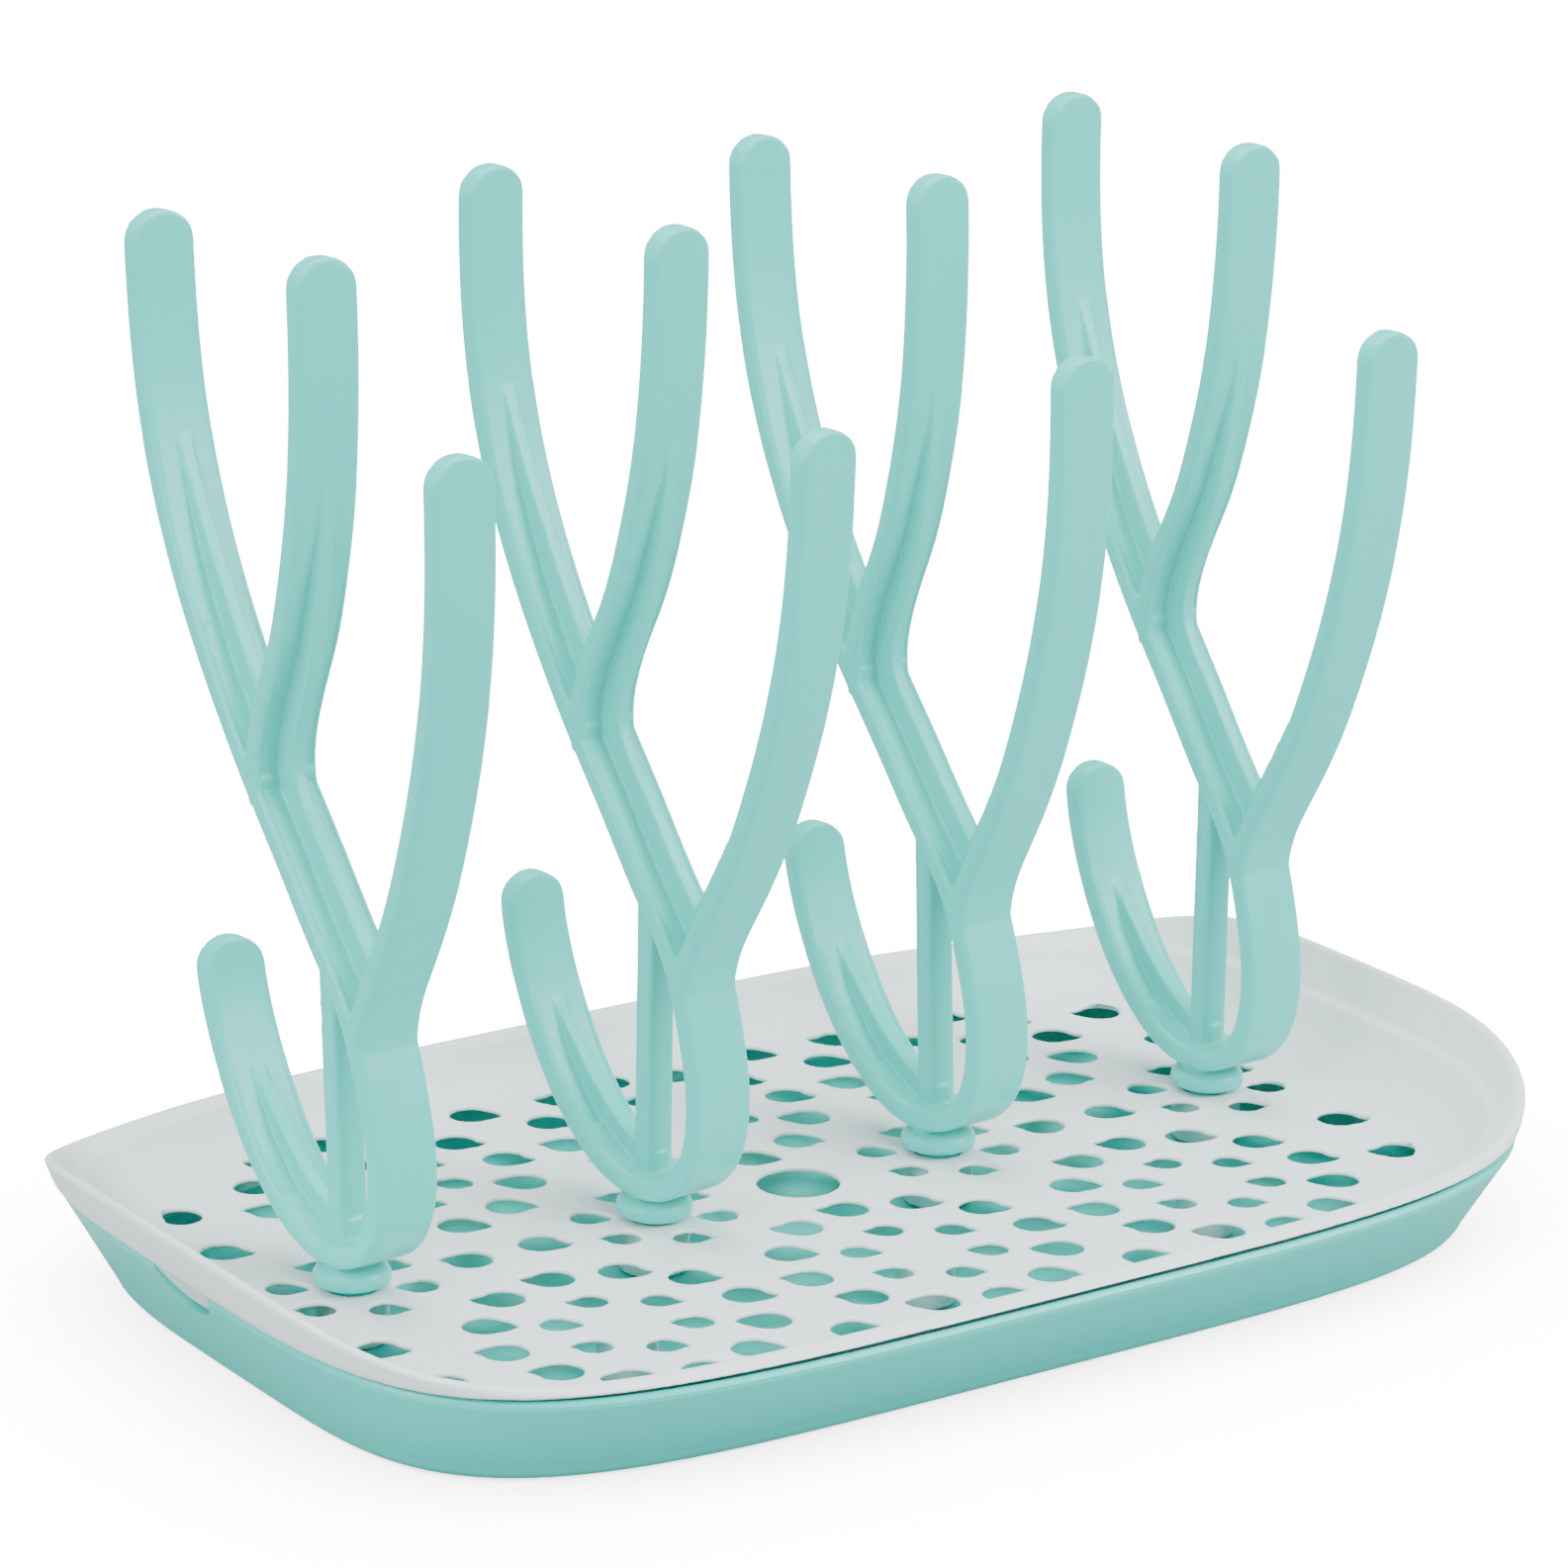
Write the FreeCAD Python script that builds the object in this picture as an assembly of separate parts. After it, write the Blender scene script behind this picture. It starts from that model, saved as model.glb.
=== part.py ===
import FreeCAD, Part
import math
import os

# Bottle drying rack, modelled in millimetres with +Z up.
# The origin is on the table under the middle of the tray, X runs along the row of
# branches, and Y runs from the front long side to the back one.
# The rack is six mouldings: a drip tray, a drain grate that lies in it, and four
# identical branches that stand in round sockets of the grate.

V = FreeCAD.Vector

# Driving dimensions
PITCH = 80.0                # distance between neighbouring branches
DOT_ROW_Y = 51.0            # the blind ring centres in front of and behind the row
TRAY_FLOOR_Z = 2.4          # top of the tray's floor
GRATE_FLOOR_Z = 15.0        # top of the grate's floor
GRATE_UNDER_Z = 13.75       # underside of the grate's floor
RIM_POWER = 4.0             # exponent of the squarish oval seen from above, at the rim
FOOT_POWER = 4.5            # the same at the foot, whose corners are squarer
RIM_POWER_Z = 19.0          # height where the outline has become the rim's
ARCH_POWER = 11.0           # how late the rim starts to rise towards the short ends
OUTLINE_POINTS = 96         # points that each closed outline is drawn through
OVERLAP = 0.5               # how far joined pieces run into each other
PAST = 1.0                  # how far cutters run past what they cut
WHOLE = 400.0               # longer than the rack

# Rings of the shells: half length, half width, height at the long sides, height at the ends
TRAY_OUTER = [
    (148.4, 94.6, 0.0, 0.0),
    (149.8, 96.0, 0.5, 0.5),
    (150.8, 97.0, 1.7, 1.7),
    (151.8, 98.0, 3.6, 3.7),
    (162.0, 108.2, 19.0, 22.4),
    (162.9, 109.0, 20.5, 24.1),
    (163.1, 109.1, 21.5, 25.1),
    (162.7, 108.6, 22.2, 25.8),
    (161.9, 107.8, 22.4, 26.0),
]
TRAY_INNER = [
    (161.2, 107.0, 22.2, 25.8),
    (160.8, 106.6, 21.6, 25.2),
    (151.0, 97.0, 5.4, 5.6),
    (149.4, 95.4, 3.4, 3.4),
    (146.8, 92.8, TRAY_FLOOR_Z, TRAY_FLOOR_Z),
]
GRATE_INNER = [
    (137.0, 88.5, GRATE_FLOOR_Z, GRATE_FLOOR_Z),
    (141.0, 91.0, 15.2, 15.4),
    (145.0, 93.4, 15.9, 16.6),
    (149.0, 95.7, 17.1, 18.6),
    (153.0, 97.9, 18.9, 21.5),
    (156.4, 99.9, 21.1, 25.1),
    (158.2, 100.9, 22.6, 27.6),
    (159.2, 101.3, 23.2, 28.6),
    (161.0, 101.8, 23.6, 29.2),
    (161.9, 102.0, 23.7, 30.4),
    (165.8, 102.6, 24.3, 36.4),
    (166.5, 103.0, 24.6, 37.6),
]
GRATE_OUTER = [
    (167.4, 103.7, 24.8, 38.3),
    (168.4, 104.5, 24.7, 38.1),
    (168.9, 105.2, 24.5, 37.2),
    (165.9, 107.7, 23.8, 28.6),
    (165.0, 108.1, 23.5, 27.2),
    (164.4, 107.9, 23.1, 26.75),
    (159.4, 104.4, 23.1, 26.75),
    (156.4, 101.6, 19.4, 21.8),
    (149.6, 96.2, GRATE_UNDER_Z, GRATE_UNDER_Z),
]

# Finger notch in the middle of each short end of the tray
NOTCH_RADIUS = 13.8
NOTCH_AXIS_Z = 31.4
NOTCH_PAD_HALF_WIDTH = 17.0
NOTCH_PAD = [
    (152.0, 98.0, 6.4, 6.4),
    (161.6, 107.4, 21.6, 25.2),
    (159.7, 105.6, 21.4, 25.0),
    (151.8, 97.8, 12.0, 12.0),
]
TONGUE_CLEARANCE = 0.9
TONGUE = [
    (164.6, 108.0, 23.4, 27.4),
    (159.0, 103.4, 16.4, 19.4),
    (156.6, 101.4, 16.4, 19.4),
    (161.4, 105.0, 23.4, 27.4),
]

# Drain holes: sizes in body radii where the name says so, directions in degrees
SMALL_LEAF = 4.05           # radius of a small leaf's round body
LARGE_LEAF = 5.2            # radius of a large leaf's round body
LEAF_TIP_REACH = 1.46       # tip distance from the body's centre, in body radii
LEAF_FULL_SIDE = 1.19       # reach of a full side between the tip and the body, in body radii
LEAF_HOLLOW_SIDE = 1.01     # the same for the hollow side of a curled tip
LEAF_SHOULDER = 50.0        # where a side meets the round body, from the tip's direction
LEAF_SIDE_MIDDLE = 26.0     # middle of a side, from the tip's direction
LEAF_CURL = 6.0             # how far a curled tip is turned aside
UP_LEFT = 146.0             # direction that one half of the tips point
DOWN_RIGHT = -34.0          # direction that the other half point
CENTRE_HOLE_RADIUS = 9.8
HOLE_CHAMFER = 0.35

# Tip direction and curl of the leaves round each ring, in turn from +X
SMALL_RING_RADIUS = 15.2
SMALL_RING_START = 30.0
SMALL_RING = [
    (DOWN_RIGHT, 1), (UP_LEFT, -1), (DOWN_RIGHT, 0),
    (UP_LEFT, 1), (DOWN_RIGHT, -1), (UP_LEFT, 0),
]
LARGE_RING_RADIUS = 31.2
LARGE_RING_START = 0.0
LARGE_RING = [
    (DOWN_RIGHT, 1), (DOWN_RIGHT, 1), (DOWN_RIGHT, 1), (UP_LEFT, -1),
    (UP_LEFT, -1), (DOWN_RIGHT, 0), (UP_LEFT, 1), (UP_LEFT, 1),
    (UP_LEFT, 0), (DOWN_RIGHT, 0), (DOWN_RIGHT, -1), (UP_LEFT, 0),
]

# Large leaves outside the rings: x, y, tip direction and curl
LOOSE_LEAVES = [
    (-89.4, 0.0, UP_LEFT, 1), (-70.6, 0.0, DOWN_RIGHT, 1),
    (70.6, 0.0, UP_LEFT, 1), (89.4, 0.0, DOWN_RIGHT, 1),
    (-40.0, 80.8, DOWN_RIGHT, 0), (40.0, 80.8, DOWN_RIGHT, 0),
    (-40.0, -80.8, DOWN_RIGHT, 0), (40.0, -80.8, DOWN_RIGHT, 0),
    (-133.6, 34.4, DOWN_RIGHT, 1), (133.6, 34.4, DOWN_RIGHT, 1),
    (-133.6, -34.4, DOWN_RIGHT, 1), (133.6, -34.4, DOWN_RIGHT, 1),
    (-131.4, 58.9, UP_LEFT, -1), (131.4, 58.9, UP_LEFT, -1),
    (-131.4, -58.9, UP_LEFT, -1), (131.4, -58.9, UP_LEFT, -1),
]

# Sockets and legs under the grate
SOCKET_RADIUS = 5.8
SOCKET_TUBE_RADIUS = 8.2
LEG_RADIUS = 7.0
LEG_WALL = 2.0
LEG_FOOT_Z = TRAY_FLOOR_Z + 0.35
DOTS = [(column * PITCH, side * DOT_ROW_Y) for side in (-1, 1) for column in (-1, 0, 1)]

# Branch: a flat ribbon, in its own plane, heights from the top of the grate's floor
RIBBON_WIDTH = 16.8
RIBBON_THICKNESS = 5.2
RIBBON_EDGE_RADIUS = 1.8
MAIN_PATH = [
    (46.6, 70.8), (45.2, 61.0), (41.6, 50.0), (36.0, 38.6), (28.6, 27.4), (20.0, 18.2),
    (11.0, 12.0), (2.0, 9.3), (-5.8, 9.7), (-12.8, 12.8), (-17.8, 19.0), (-20.0, 28.0),
    (-19.7, 37.5), (-17.6, 47.0), (-14.8, 56.0), (-11.3, 64.5), (-6.2, 72.4), (0.1, 80.0),
    (12.3, 96.0), (24.7, 112.0), (35.9, 128.0), (45.7, 144.0), (53.7, 160.0),
    (59.7, 176.0), (63.8, 192.0), (66.3, 210.0), (67.4, 233.5),
]
FRONT_PATH = [
    (-13.6, 58.0), (-15.4, 68.0), (-21.0, 79.5), (-28.6, 95.0), (-34.8, 112.0),
    (-39.4, 128.0), (-42.7, 144.0), (-44.7, 160.0), (-45.5, 178.0), (-45.2, 196.9),
]
REAR_PATH = [
    (22.6, 108.0), (23.6, 117.0), (21.4, 127.0), (17.6, 136.5), (14.0, 145.0),
    (9.6, 160.0), (6.3, 176.0), (4.4, 194.0), (3.8, 212.0), (4.4, 231.9),
]
STEM_RIB_PATH = [
    (-11.3, 64.5), (-6.2, 72.4), (0.1, 80.0), (12.3, 96.0), (20.6, 107.2), (23.5, 116.5),
    (21.4, 127.0), (17.6, 136.5), (14.0, 145.0), (9.6, 160.0), (6.3, 176.0), (4.6, 190.0),
]
POST_FOOT = (0.8, 9.0)
POST_TOP = (3.4, 83.0)
POST_SIZE_X = 6.0
POST_SIZE_Y = 5.6
POST_EDGE_RADIUS = 1.2
TIP_DEPTH = 9.0             # half depth of the cutter that rounds a prong's tip
RIB_THICKNESS = 3.4
RIB_SAMPLES = 17            # points that each rib's outline is drawn through

# Ribs: path, first and last share of it, side of the ribbon, heights spread along the rib
RIBS = [
    (MAIN_PATH, 0.08, 0.25, 1, [-0.5, 2.4, 3.8, 4.4, 4.6]),
    (MAIN_PATH, 0.64, 0.865, -1, [4.5, 4.5, 4.0, 2.0, -0.5]),
    (STEM_RIB_PATH, 0.0, 1.0, -1, [5.5, 5.0, 4.6, 4.2, 2.0, -0.5]),
    (FRONT_PATH, 0.10, 0.66, 1, [5.0, 5.0, 4.0, 2.0, -0.5]),
]

# Round foot of a branch, as radius and height: the plug, the bun over the grate, the neck
PLUG = [(0.0, -9.0), (4.1, -9.0), (4.9, -8.2), (4.9, 0.9), (7.5, 0.9)]
BUN_LOWER_EDGE = [(7.5, 0.9), (8.5, 1.6), (8.9, 2.9)]
BUN_UPPER_EDGE = [(8.9, 2.9), (8.1, 4.9), (5.6, 5.9)]
NECK = [(5.6, 5.9), (5.2, 6.6), (5.8, 8.6), (0.0, 8.6), (0.0, -9.0)]

# How each branch stands: turned about its own axis, leaning in and out of its plane
BRANCH_POSES = [
    (-1.5 * PITCH, 4.6, -1.9, 0.7),
    (-0.5 * PITCH, 8.6, 1.9, 1.0),
    (0.5 * PITCH, 6.0, -2.3, 1.4),
    (1.5 * PITCH, 4.7, 0.5, 1.8),
]


def ring_edge(ring):
    """Closed spline edge of one squarish oval whose height rises at the short ends."""
    half_x, half_y, side_z, end_z = ring
    above = min(side_z / RIM_POWER_Z, 1.0)
    power = FOOT_POWER + (RIM_POWER - FOOT_POWER) * above
    points = []
    for index in range(OUTLINE_POINTS):
        turn = 2.0 * math.pi * index / OUTLINE_POINTS
        bearing = math.atan2(half_y * math.sin(turn), half_x * math.cos(turn))
        cosine = math.cos(bearing)
        sine = math.sin(bearing)
        share = abs(cosine / half_x) ** power + abs(sine / half_y) ** power
        radius = share ** (-1.0 / power)
        rise = abs(radius * cosine / half_x) ** ARCH_POWER
        points.append(V(radius * cosine, radius * sine, side_z + (end_z - side_z) * rise))
    curve = Part.BSplineCurve()
    curve.interpolate(Points=points, PeriodicFlag=True)
    return curve.toShape()


def skin_solid(edges, faces):
    """Solid bounded by the given faces and the ruled faces from each edge to the next."""
    for lower, upper in zip(edges, edges[1:]):
        faces.append(Part.makeRuledSurface(lower, upper))
    shell = Part.makeShell(faces)
    shell.sewShape()
    solid = Part.makeSolid(Part.Shell(shell.Faces))
    if solid.Volume < 0:
        solid.reverse()
    return solid


def dish(outer, inner):
    """Open dish from outer rings, listed first to last, and inner rings back down."""
    edges = [ring_edge(ring) for ring in outer + inner]
    caps = [Part.Face(Part.Wire([edges[0]])), Part.Face(Part.Wire([edges[-1]]))]
    return skin_solid(edges, caps)


def hoop(rings):
    """Closed band that runs once round the rack."""
    edges = [ring_edge(ring) for ring in rings]
    return skin_solid(edges + [edges[0]], [])


def cylinder_z(radius, low, high, x, y):
    return Part.makeCylinder(radius, high - low, V(x, y, low), V(0, 0, 1))


def notch_cylinder(radius):
    """Cylinder along X through both short ends, on the finger notches' axis."""
    return Part.makeCylinder(radius, WHOLE, V(-WHOLE / 2, 0, NOTCH_AXIS_Z), V(1, 0, 0))


def drip_tray():
    tray = dish(TRAY_OUTER, TRAY_INNER)
    slab = Part.makeBox(WHOLE, 2 * NOTCH_PAD_HALF_WIDTH, WHOLE,
                        V(-WHOLE / 2, -NOTCH_PAD_HALF_WIDTH, 0))
    pads = hoop(NOTCH_PAD).common(slab)
    return tray.fuse(pads).cut(notch_cylinder(NOTCH_RADIUS))


def leaf_wire(x, y, z, radius, tip_angle, curl):
    """Leaf outline: a round body that is drawn out to one tip.

    A curl of 1 or -1 hollows the side before or after the tip, and 0 leaves both full.
    """
    def at(reach, angle):
        bearing = math.radians(tip_angle + angle)
        return V(x + reach * math.cos(bearing), y + reach * math.sin(bearing), z)
    tip = at(radius * LEAF_TIP_REACH, LEAF_CURL * curl)
    first_shoulder = at(radius, LEAF_SHOULDER)
    last_shoulder = at(radius, -LEAF_SHOULDER)
    waists = []
    for side in (1, -1):
        reach = LEAF_HOLLOW_SIDE if side == curl else LEAF_FULL_SIDE
        waists.append(at(radius * reach, side * LEAF_SIDE_MIDDLE))
    first = Part.Arc(tip, waists[0], first_shoulder).toShape()
    body = Part.Arc(first_shoulder, at(radius, 180.0), last_shoulder).toShape()
    last = Part.Arc(last_shoulder, waists[1], tip).toShape()
    return Part.Wire([first, body, last])


def leaf_tool(x, y, radius, tip_angle, curl):
    """Cutter for one leaf hole with a small chamfer round its upper edge."""
    flared = radius + 2 * HOLE_CHAMFER
    low = leaf_wire(x, y, GRATE_UNDER_Z - PAST, radius, tip_angle, curl)
    waist = leaf_wire(x, y, GRATE_FLOOR_Z - HOLE_CHAMFER, radius, tip_angle, curl)
    high = leaf_wire(x, y, GRATE_FLOOR_Z + HOLE_CHAMFER, flared, tip_angle, curl)
    return Part.makeLoft([low, waist, high], True, True)


def ring_of_leaves(x, y, ring_radius, start, leaf_radius, ring):
    """Leaves spread evenly round one centre, as x, y, body radius, tip direction and curl."""
    places = []
    for index, (tip, curl) in enumerate(ring):
        bearing = math.radians(start + 360.0 * index / len(ring))
        places.append((x + ring_radius * math.cos(bearing), y + ring_radius * math.sin(bearing),
                       leaf_radius, tip, curl))
    return places


def leaf_places():
    """Every leaf hole as x, y, body radius, tip direction and curl."""
    places = [(x, y, LARGE_LEAF, tip, curl) for x, y, tip, curl in LOOSE_LEAVES]
    sockets = [(pose[0], 0.0) for pose in BRANCH_POSES]
    for x, y in sockets + DOTS:
        places += ring_of_leaves(x, y, SMALL_RING_RADIUS, SMALL_RING_START, SMALL_LEAF, SMALL_RING)
    for x, y in DOTS:
        places += ring_of_leaves(x, y, LARGE_RING_RADIUS, LARGE_RING_START, LARGE_LEAF, LARGE_RING)
    return places


def drain_grate():
    grate = dish(GRATE_INNER, GRATE_OUTER)
    tongues = hoop(TONGUE).common(notch_cylinder(NOTCH_RADIUS - TONGUE_CLEARANCE))
    join_z = GRATE_UNDER_Z + OVERLAP
    tubes = []
    bores = []
    for pose in BRANCH_POSES:
        x = pose[0]
        tubes.append(cylinder_z(SOCKET_TUBE_RADIUS, LEG_FOOT_Z, join_z, x, 0))
        bores.append(cylinder_z(SOCKET_RADIUS, LEG_FOOT_Z - PAST, GRATE_FLOOR_Z + PAST, x, 0))
    for x, y in DOTS:
        tubes.append(cylinder_z(LEG_RADIUS, LEG_FOOT_Z, join_z, x, y))
        bores.append(cylinder_z(LEG_RADIUS - LEG_WALL, LEG_FOOT_Z - PAST, GRATE_UNDER_Z, x, y))
    holes = [leaf_tool(*place) for place in leaf_places()]
    holes.append(cylinder_z(CENTRE_HOLE_RADIUS, GRATE_UNDER_Z - PAST, GRATE_FLOOR_Z + PAST, 0, 0))
    return grate.fuse([tongues] + tubes).cut(Part.makeCompound(bores + holes))


def path_curve(points):
    curve = Part.BSplineCurve()
    curve.interpolate([V(0, y, z) for y, z in points])
    return curve


def rounded_bar(curve, size_x, size_across, edge_radius):
    """Solid bar with a rounded-rectangle section that follows a curve in the YZ plane."""
    start = curve.value(curve.FirstParameter)
    along = curve.tangent(curve.FirstParameter)[0]
    across = along.cross(V(1, 0, 0))
    half_x = size_x / 2.0
    half_a = size_across / 2.0
    flat_x = half_x - edge_radius
    flat_a = half_a - edge_radius
    diagonal = edge_radius * math.sqrt(0.5)

    def at(x, a):
        return start + V(x, 0, 0) + across * a
    edges = []
    for sign_x, sign_a in ((1, 1), (-1, 1), (-1, -1), (1, -1)):
        on_x = at(sign_x * half_x, sign_a * flat_a)
        on_a = at(sign_x * flat_x, sign_a * half_a)
        middle = at(sign_x * (flat_x + diagonal), sign_a * (flat_a + diagonal))
        edges.append(Part.Arc(on_x, middle, on_a).toShape())
    edges.append(Part.makeLine(at(flat_x, half_a), at(-flat_x, half_a)))
    edges.append(Part.makeLine(at(-half_x, flat_a), at(-half_x, -flat_a)))
    edges.append(Part.makeLine(at(-flat_x, -half_a), at(flat_x, -half_a)))
    edges.append(Part.makeLine(at(half_x, -flat_a), at(half_x, flat_a)))
    section = Part.Wire(Part.__sortEdges__(edges))
    return Part.Wire([curve.toShape()]).makePipeShell([section], True, False)


def tip_corners(tip_y, tip_z):
    """What is cut away to leave a round end on a prong, as seen from the front."""
    half = RIBBON_WIDTH / 2.0
    start_y = tip_y - TIP_DEPTH
    block = Part.makeBox(2 * (half + PAST), 2 * TIP_DEPTH, half + 2 * PAST,
                         V(-half - PAST, start_y, tip_z - half))
    drum = Part.makeCylinder(half, 2 * TIP_DEPTH, V(0, start_y, tip_z - half), V(0, 1, 0))
    return block.cut(drum)


def rib(points, start, end, side, heights):
    """Thin rib on one face of a ribbon, from one share of its path to another.

    The heights are spread evenly along the rib.
    """
    curve = path_curve(points)
    span = curve.LastParameter - curve.FirstParameter
    inner = []
    outer = []
    for index in range(RIB_SAMPLES):
        share = index / (RIB_SAMPLES - 1.0)
        parameter = curve.FirstParameter + span * (start + (end - start) * share)
        centre = curve.value(parameter)
        across = curve.tangent(parameter)[0].cross(V(1, 0, 0)) * side
        place = share * (len(heights) - 1)
        before = min(int(place), len(heights) - 2)
        height = heights[before] + (heights[before + 1] - heights[before]) * (place - before)
        inner.append(centre)
        outer.append(centre + across * (RIBBON_THICKNESS / 2.0 + height))
    outline = []
    for line in (inner, outer):
        edge = Part.BSplineCurve()
        edge.interpolate(line)
        outline.append(edge.toShape())
    outline.append(Part.makeLine(inner[-1], outer[-1]))
    outline.append(Part.makeLine(outer[0], inner[0]))
    face = Part.Face(Part.Wire(Part.__sortEdges__(outline)))
    face.translate(V(-RIB_THICKNESS / 2.0, 0, 0))
    return face.extrude(V(RIB_THICKNESS, 0, 0))


def branch_foot():
    """Round foot: the plug, the bun that rests over the grate, and the neck."""
    edges = []
    for line in (PLUG, NECK):
        corners = [V(radius, 0, z) for radius, z in line]
        edges += [Part.makeLine(a, b) for a, b in zip(corners, corners[1:])]
    for bend in (BUN_LOWER_EDGE, BUN_UPPER_EDGE):
        edges.append(Part.Arc(*[V(radius, 0, z) for radius, z in bend]).toShape())
    face = Part.Face(Part.Wire(Part.__sortEdges__(edges)))
    return face.revolve(V(0, 0, 0), V(0, 0, 1), 360)


def ribbon(path):
    return rounded_bar(path_curve(path), RIBBON_WIDTH, RIBBON_THICKNESS, RIBBON_EDGE_RADIUS)


def branch():
    """One branch in its own plane, its axis on Z and the grate's floor top at Z = 0."""
    main = ribbon(MAIN_PATH).cut([tip_corners(*MAIN_PATH[0]), tip_corners(*MAIN_PATH[-1])])
    front = ribbon(FRONT_PATH).cut(tip_corners(*FRONT_PATH[-1]))
    rear = ribbon(REAR_PATH).cut(tip_corners(*REAR_PATH[-1]))
    post_line = path_curve([POST_FOOT, POST_TOP])
    post = rounded_bar(post_line, POST_SIZE_X, POST_SIZE_Y, POST_EDGE_RADIUS)
    ribs = [rib(*place) for place in RIBS]
    return main.fuse([front, rear, post, branch_foot()] + ribs)


def placed(shape, pose):
    """Copy of a branch turned and leaning in its socket."""
    x, turn, lean_in_plane, lean_across = pose
    copy = shape.copy()
    copy.rotate(V(0, 0, 0), V(0, 0, 1), turn)
    copy.rotate(V(0, 0, 0), V(1, 0, 0), lean_in_plane)
    copy.rotate(V(0, 0, 0), V(0, 1, 0), lean_across)
    copy.translate(V(x, 0, GRATE_FLOOR_Z))
    return copy


def write(name, shape):
    print(name, "valid", shape.isValid(), "solids", len(shape.Solids),
          "volume", round(shape.Volume), "box", shape.BoundBox)
    shape.exportStep("parts/" + name + ".step")


os.makedirs("parts", exist_ok=True)
write("drip_tray", drip_tray())
write("drain_grate", drain_grate())
one_branch = branch()
for number, pose in enumerate(BRANCH_POSES, start=1):
    write("branch_" + str(number), placed(one_branch, pose))
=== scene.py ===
import math

import bpy
import numpy
from mathutils import Matrix, Vector


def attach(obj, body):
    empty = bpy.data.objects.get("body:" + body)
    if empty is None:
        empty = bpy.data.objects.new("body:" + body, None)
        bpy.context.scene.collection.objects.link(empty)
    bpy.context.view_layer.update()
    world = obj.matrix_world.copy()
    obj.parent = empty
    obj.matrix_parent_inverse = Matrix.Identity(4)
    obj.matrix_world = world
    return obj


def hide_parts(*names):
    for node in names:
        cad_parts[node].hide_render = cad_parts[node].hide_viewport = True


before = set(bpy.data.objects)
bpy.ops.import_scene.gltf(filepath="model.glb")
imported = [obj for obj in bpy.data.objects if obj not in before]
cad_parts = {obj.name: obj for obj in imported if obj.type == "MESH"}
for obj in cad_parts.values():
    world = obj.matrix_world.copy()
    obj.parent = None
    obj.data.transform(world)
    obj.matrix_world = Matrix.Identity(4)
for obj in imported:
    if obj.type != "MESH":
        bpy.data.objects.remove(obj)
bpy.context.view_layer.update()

# Camera, in metres and degrees
TURN = 34.151
RISE = 17.1413
ROLL = 0.4362
DISTANCE = 1.45697
SHIFT_RIGHT = -0.004
SHIFT_UP = 0.092736
GRATE_FLOOR_Z = 0.015
LENS_MM = 143.54

# Studio: radiance of the room and of the white backdrop, and the glow and reach of the painted
# contact shadow on the floor close round the tray
ROOM_LIGHT = 0.72
BACKDROP_WHITE = 16.0
PAINTED_SHADOW_GLOW = 3.0
PAINTED_SHADOW_REACH = 0.05
FLOOR_SIZE = 14.0
FLOOR_Z = -0.0004

# Lamps: name, place, target, side of the square and watts
LAMPS = [
    ("key", (0.8, -0.85, 0.85), (0.05, 0, 0.1), 0.8, 25.0),
    ("side", (-1.4, -0.3, 0.9), (0, 0, 0.08), 1.0, 27.0),
    ("top", (0.1, 0.3, 1.6), (0, 0, 0.0), 1.2, 34.0),
]

# Plastic: grain in each metre and its depth in metres, and the share of flow streaks in the tint
GRAIN_SIZE = 900.0
GRAIN_DEPTH = 0.00004
GRAIN_BUMP = 0.25
ROUGHNESS_SWING = 0.05
DRIFT_SIZE = 9.0
DRIFT_TINT = 0.4
FLOW_SIZE = 160.0
FLOW_STRETCH = 0.03
FLOW_TINT = 0.35
PLASTIC_IOR = 1.49
PLASTIC_SPECULAR = 0.38

# Finer copies: grain of the remesh, easing passes and the share of faces that is kept
BRANCH_VOXEL = 0.0004
BRANCH_KEPT = 0.3
GRATE_VOXEL = 0.0005
GRATE_PASSES = 2
GRATE_KEPT = 0.15

# How each branch stands, as the CAD has it, in mm and degrees
BRANCH_POSES = [
    (-120.0, 4.6, -1.9, 0.7),
    (-40.0, 8.6, 1.9, 1.0),
    (40.0, 6.0, -2.3, 1.4),
    (120.0, 4.7, 0.5, 1.8),
]

# Channels beside the ribs, in mm in a branch's own plane: the stem and left prong, the right
# prong, and the hook, each from its deep end to where it fades out
CHANNELS = [
    [(-8.7, 68.5), (-6.2, 72.4), (0.1, 80.0), (12.3, 96.0), (24.7, 112.0), (35.9, 128.0),
     (45.7, 144.0), (53.7, 160.0), (59.7, 176.0)],
    [(23.6, 117.0), (21.4, 127.0), (17.6, 136.5), (14.0, 145.0), (9.6, 160.0), (6.3, 176.0)],
    [(20.0, 18.2), (28.6, 27.4), (36.0, 38.6), (41.6, 50.0)],
]
HALF_THICK = 2.6
CHANNEL_HALF = 7.3
CHANNEL_SLOPE = 0.7
CHANNEL_DEPTH = 0.6
CHANNEL_FADE = 0.35
FACE_FADE = 0.5
FACE_REACH = 1.2

# Tips of the prongs, each with the length that is eased, in the same plane
TIPS = [(46.6, 70.8, 30.0), (67.4, 233.5, 50.0), (4.4, 231.9, 50.0), (-45.2, 196.9, 55.0)]
TIP_PASSES = 18
TIP_HALF_WIDTH = 10.0
TIP_ABOVE = 2.0

# The post's line in the same plane, how far from it the post's own faces lie, and its widening
POST_FOOT_Y = 0.5
POST_TOP_Y = 3.4
POST_TOP_Z = 80.0
POST_WIDER = 1.28
POST_REACH_X = 3.1
POST_REACH_Y = 3.0
POST_FROM_Z = 9.5


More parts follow.
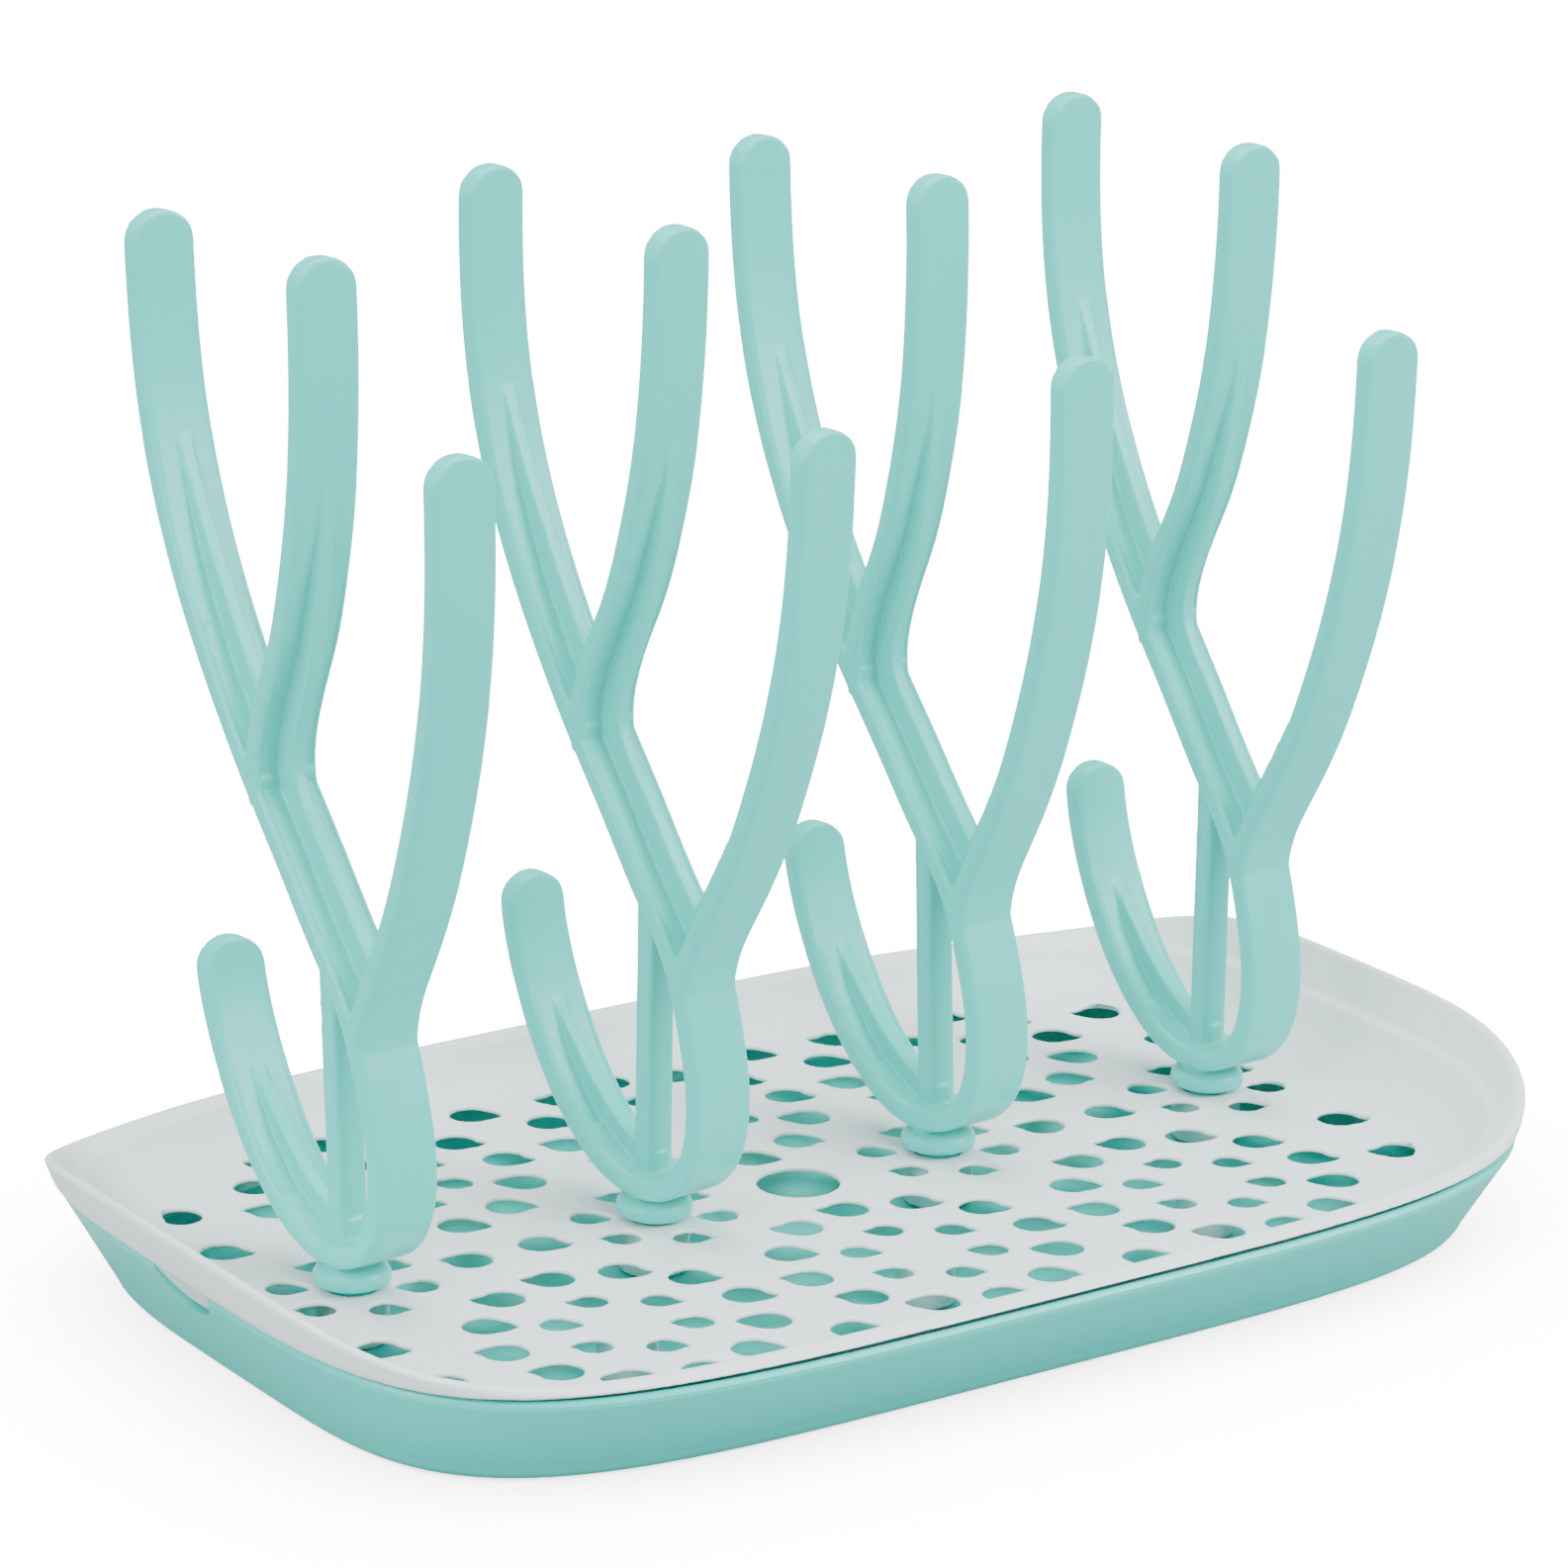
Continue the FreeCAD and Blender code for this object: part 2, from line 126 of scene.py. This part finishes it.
def camera():
    """The camera, turned about the middle of the grate's floor."""
    turn = math.radians(TURN)
    rise = math.radians(RISE)
    roll = math.radians(ROLL)
    level = math.cos(rise)
    back = Vector((-math.sin(turn) * level, -math.cos(turn) * level, math.sin(rise)))
    right = (-back).cross(Vector((0, 0, 1))).normalized()
    up = right.cross(-back)
    eye = back * DISTANCE + right * SHIFT_RIGHT + up * SHIFT_UP + Vector((0, 0, GRATE_FLOOR_Z))
    right, up = (right * math.cos(roll) + up * math.sin(roll),
                 up * math.cos(roll) - right * math.sin(roll))
    data = bpy.data.cameras.new("camera")
    data.lens = LENS_MM
    data.sensor_width = 36.0
    data.clip_start = 0.05
    cam = bpy.data.objects.new("camera", data)
    bpy.context.collection.objects.link(cam)
    cam.matrix_world = Matrix.Translation(eye) @ Matrix((right, up, back)).transposed().to_4x4()
    bpy.context.scene.camera = cam


def area_light(name, place, target, side, watts):
    data = bpy.data.lights.new(name, "AREA")
    data.shape = "RECTANGLE"
    data.size = data.size_y = side
    data.energy = watts
    lamp = bpy.data.objects.new(name, data)
    bpy.context.collection.objects.link(lamp)
    lamp.location = place
    lamp.rotation_euler = (Vector(target) - Vector(place)).to_track_quat("-Z", "Y").to_euler()


def shown_to_camera(tree, lit, seen, output):
    """The lit shader for every ray but the camera's own, which gets the seen one."""
    path = tree.nodes.new("ShaderNodeLightPath")
    pick = tree.nodes.new("ShaderNodeMixShader")
    tree.links.new(path.outputs["Is Camera Ray"], pick.inputs[0])
    tree.links.new(lit.outputs[0], pick.inputs[1])
    tree.links.new(seen.outputs[0], pick.inputs[2])
    tree.links.new(pick.outputs[0], tree.nodes[output].inputs["Surface"])


def studio():
    """Soft white room, three square lamps and a white floor with a painted contact shadow close
    round the tray.
    """
    world = bpy.data.worlds.new("studio")
    bpy.context.scene.world = world
    world.use_nodes = True
    nodes = world.node_tree.nodes
    room = nodes["Background"]
    room.inputs["Color"].default_value = (0.97, 0.99, 1.0, 1.0)
    room.inputs["Strength"].default_value = ROOM_LIGHT
    backdrop = nodes.new("ShaderNodeBackground")
    backdrop.inputs["Strength"].default_value = BACKDROP_WHITE
    shown_to_camera(world.node_tree, room, backdrop, "World Output")
    for lamp in LAMPS:
        area_light(*lamp)
    bpy.ops.mesh.primitive_grid_add(x_subdivisions=2, y_subdivisions=2, size=FLOOR_SIZE,
                                    location=(0, 0, FLOOR_Z))
    floor = bpy.context.object
    floor.name = "floor"
    mat = bpy.data.materials.new("floor_paper_painted_shadow")
    mat.use_nodes = True
    nodes = mat.node_tree.nodes
    links = mat.node_tree.links
    paper = nodes["Principled BSDF"]
    paper.inputs["Base Color"].default_value = (0.5, 0.5, 0.5, 1.0)
    paper.inputs["Roughness"].default_value = 0.9
    paper.inputs["Specular IOR Level"].default_value = 0.0
    # Painted contact shadow: the floor's glow to the camera is turned down where ambient occlusion
    # finds the tray close by.
    near = nodes.new("ShaderNodeAmbientOcclusion")
    near.inputs["Distance"].default_value = PAINTED_SHADOW_REACH
    near.samples = 8
    fade = nodes.new("ShaderNodeMapRange")
    fade.inputs["From Min"].default_value = 0.1
    fade.inputs["From Max"].default_value = 0.95
    fade.inputs["To Min"].default_value = PAINTED_SHADOW_GLOW
    fade.inputs["To Max"].default_value = BACKDROP_WHITE
    links.new(near.outputs["AO"], fade.inputs["Value"])
    glow_with_painted_shadow = nodes.new("ShaderNodeEmission")
    links.new(fade.outputs["Result"], glow_with_painted_shadow.inputs["Strength"])
    shown_to_camera(mat.node_tree, paper, glow_with_painted_shadow, "Material Output")
    floor.data.materials.append(mat)


def plastic(name, base, deep, roughness):
    """Moulded satin plastic: slow colour drift, faint flow streaks and a fine moulded grain."""
    mat = bpy.data.materials.new(name)
    mat.use_nodes = True
    nodes = mat.node_tree.nodes
    links = mat.node_tree.links
    shader = nodes["Principled BSDF"]
    place = nodes.new("ShaderNodeTexCoord")

    def noise(scale, detail, stretch):
        mapping = nodes.new("ShaderNodeMapping")
        mapping.inputs["Scale"].default_value = stretch
        links.new(place.outputs["Object"], mapping.inputs["Vector"])
        texture = nodes.new("ShaderNodeTexNoise")
        texture.inputs["Scale"].default_value = scale
        texture.inputs["Detail"].default_value = detail
        links.new(mapping.outputs["Vector"], texture.inputs["Vector"])
        return texture.outputs["Fac"]

    def span(source, low, high):
        ramp = nodes.new("ShaderNodeMapRange")
        ramp.inputs["To Min"].default_value = low
        ramp.inputs["To Max"].default_value = high
        links.new(source, ramp.inputs["Value"])
        return ramp.outputs["Result"]

    drift = noise(DRIFT_SIZE, 2.0, (1, 1, 1))
    flow = noise(FLOW_SIZE, 3.0, (1, 1, FLOW_STRETCH))
    grain = noise(GRAIN_SIZE, 4.0, (1, 1, 1))
    tint = nodes.new("ShaderNodeMix")
    tint.data_type = "RGBA"
    tint.inputs[6].default_value = (*base, 1.0)
    tint.inputs[7].default_value = (*deep, 1.0)
    blend = nodes.new("ShaderNodeMath")
    blend.operation = "MULTIPLY_ADD"
    links.new(flow, blend.inputs[0])
    blend.inputs[1].default_value = FLOW_TINT
    links.new(span(drift, 0.0, DRIFT_TINT), blend.inputs[2])
    links.new(blend.outputs[0], tint.inputs[0])
    links.new(tint.outputs[2], shader.inputs["Base Color"])
    gloss = span(grain, roughness - ROUGHNESS_SWING, roughness + ROUGHNESS_SWING)
    links.new(gloss, shader.inputs["Roughness"])
    bump = nodes.new("ShaderNodeBump")
    bump.inputs["Strength"].default_value = GRAIN_BUMP
    bump.inputs["Distance"].default_value = GRAIN_DEPTH
    links.new(grain, bump.inputs["Height"])
    links.new(bump.outputs["Normal"], shader.inputs["Normal"])
    shader.inputs["IOR"].default_value = PLASTIC_IOR
    shader.inputs["Specular IOR Level"].default_value = PLASTIC_SPECULAR
    return mat


def finish_node(name, mat):
    """The material on a CAD node that is shown as it is."""
    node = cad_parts[name]
    if not node.material_slots:
        raise ValueError("node without a material slot: " + name)
    for place in node.material_slots:
        place.material = mat


def baked(piece):
    """The piece's mesh with its modifiers applied."""
    done = piece.evaluated_get(bpy.context.evaluated_depsgraph_get())
    mesh = bpy.data.meshes.new_from_object(done)
    piece.modifiers.clear()
    piece.data = mesh
    return mesh


def stand_of(pose):
    """Matrix from a branch's own plane to where it stands in the rack."""
    x, turn, lean_in_plane, lean_across = pose
    return (Matrix.Translation((x / 1000.0, 0, GRATE_FLOOR_Z))
            @ Matrix.Rotation(math.radians(lean_across), 4, "Y")
            @ Matrix.Rotation(math.radians(lean_in_plane), 4, "X")
            @ Matrix.Rotation(math.radians(turn), 4, "Z"))


def own_points(mesh, stand):
    """Every vertex in the branch's own plane, in mm."""
    flat = numpy.empty(len(mesh.vertices) * 3)
    mesh.vertices.foreach_get("co", flat)
    back = numpy.array(stand.inverted())
    return 1000.0 * (flat.reshape(-1, 3) @ back[:3, :3].T + back[:3, 3])


def put_points(mesh, own, stand):
    """The vertices back in the rack, from the branch's own plane in mm."""
    there = numpy.array(stand)
    world = (own / 1000.0) @ there[:3, :3].T + there[:3, 3]
    mesh.vertices.foreach_set("co", world.reshape(-1))
    mesh.update()


def widen_post(mesh, stand):
    """The post's full width, which flares a little into the stem and the loop."""
    own = own_points(mesh, stand)
    middle = POST_FOOT_Y + (POST_TOP_Y - POST_FOOT_Y) * own[:, 2] / POST_TOP_Z
    post = (numpy.abs(own[:, 0]) < POST_REACH_X) & (numpy.abs(own[:, 1] - middle) < POST_REACH_Y)
    post &= (own[:, 2] > POST_FROM_Z) & (own[:, 2] < POST_TOP_Z)
    own[post, 0] *= POST_WIDER
    put_points(mesh, own, stand)


def ease_tips(piece, stand):
    """Domed tips and well rounded edges along the plain upper part of each prong."""
    own = own_points(piece.data, stand)
    group = piece.vertex_groups.new(name="tips")
    for tip_y, tip_z, reach in TIPS:
        close = (numpy.abs(own[:, 1] - tip_y) < TIP_HALF_WIDTH) & (own[:, 2] > tip_z - reach)
        close &= own[:, 2] < tip_z + TIP_ABOVE
        group.add([int(index) for index in numpy.nonzero(close)[0]], 1.0, "REPLACE")
    ease = piece.modifiers.new("dome", "SMOOTH")
    ease.factor = 0.5
    ease.iterations = TIP_PASSES
    ease.vertex_group = "tips"


def sink_faces(mesh, stand):
    """Shallow channels on each side of the ribs, inside the borders of a branch's front faces."""
    own = own_points(mesh, stand)
    sunk = numpy.zeros(len(own))
    push = numpy.zeros((len(own), 3))
    for line in CHANNELS:
        line = numpy.array(line)
        steps = numpy.linalg.norm(numpy.diff(line, axis=0), axis=1)
        run = numpy.concatenate([[0.0], numpy.cumsum(steps)])
        near = numpy.full(len(own), 1.0e9)
        rise = numpy.zeros(len(own))
        share = numpy.zeros(len(own))
        front = numpy.zeros((len(own), 2))
        for index in range(len(steps)):
            along = (line[index + 1] - line[index]) / steps[index]
            out = numpy.array((-along[1], along[0]))
            if out[0] > 0:
                out = -out
            offset = own[:, 1:] - line[index]
            place = numpy.clip(offset @ along, 0.0, steps[index])
            gap = numpy.linalg.norm(offset - place[:, None] * along, axis=1)
            better = gap < near
            near[better] = gap[better]
            rise[better] = (offset @ out)[better]
            share[better] = (run[index] + place[better]) / run[-1]
            front[better] = out
        on_face = numpy.clip(2.0 - numpy.abs(rise - HALF_THICK) / FACE_FADE, 0.0, 1.0)
        on_face *= near < HALF_THICK + FACE_REACH
        inside = numpy.clip((CHANNEL_HALF - numpy.abs(own[:, 0])) / CHANNEL_SLOPE, 0.0, 1.0)
        fade = numpy.clip((1.0 - share) / CHANNEL_FADE, 0.0, 1.0)
        depth = CHANNEL_DEPTH * on_face * inside * fade
        deeper = depth > sunk
        sunk[deeper] = depth[deeper]
        push[deeper, 1] = -front[deeper, 0] * depth[deeper]
        push[deeper, 2] = -front[deeper, 1] * depth[deeper]
    put_points(mesh, own + push, stand)


def finer_copy(node, voxel, shape_first=None):
    """Copy of a CAD node's mesh, remeshed evenly."""
    piece = bpy.data.objects.new(node + "_moulding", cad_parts[node].data.copy())
    bpy.context.collection.objects.link(piece)
    if shape_first:
        shape_first(piece.data)
    even = piece.modifiers.new("even", "REMESH")
    even.mode = "VOXEL"
    even.voxel_size = voxel
    baked(piece)
    return piece


def finish_copy(piece, node, body, mat, passes, kept):
    """Ease a finer copy's edges, drop the faces it doesn't need and put it in the node's place."""
    ease = piece.modifiers.new("ease", "SMOOTH")
    ease.factor = 0.5
    ease.iterations = passes
    thin = piece.modifiers.new("thin", "DECIMATE")
    thin.ratio = kept
    mesh = baked(piece)
    mesh.materials.clear()
    mesh.materials.append(mat)
    mesh.shade_smooth()
    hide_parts(node)
    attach(piece, body)


def moulded_branch(node, pose, mat):
    """A branch with its post's full width, channels beside its ribs and rounded prongs."""
    stand = stand_of(pose)
    piece = finer_copy(node, BRANCH_VOXEL, lambda mesh: widen_post(mesh, stand))
    sink_faces(piece.data, stand)
    ease_tips(piece, stand)
    finish_copy(piece, node, node, mat, 1, BRANCH_KEPT)


def moulded_grate(mat):
    """The grate with a rounded lip and soft edges round its holes."""
    piece = finer_copy("drain_grate", GRATE_VOXEL)
    finish_copy(piece, "drain_grate", "grate", mat, GRATE_PASSES, GRATE_KEPT)


mint = plastic("mint_satin_plastic", (0.045, 0.65, 0.58), (0.038, 0.61, 0.54), 0.32)
white = plastic("white_satin_plastic", (0.77, 0.84, 0.85), (0.74, 0.81, 0.82), 0.36)
camera()
studio()
finish_node("drip_tray", mint)
moulded_grate(white)
for number, pose in enumerate(BRANCH_POSES, start=1):
    moulded_branch("branch_" + str(number), pose, mint)
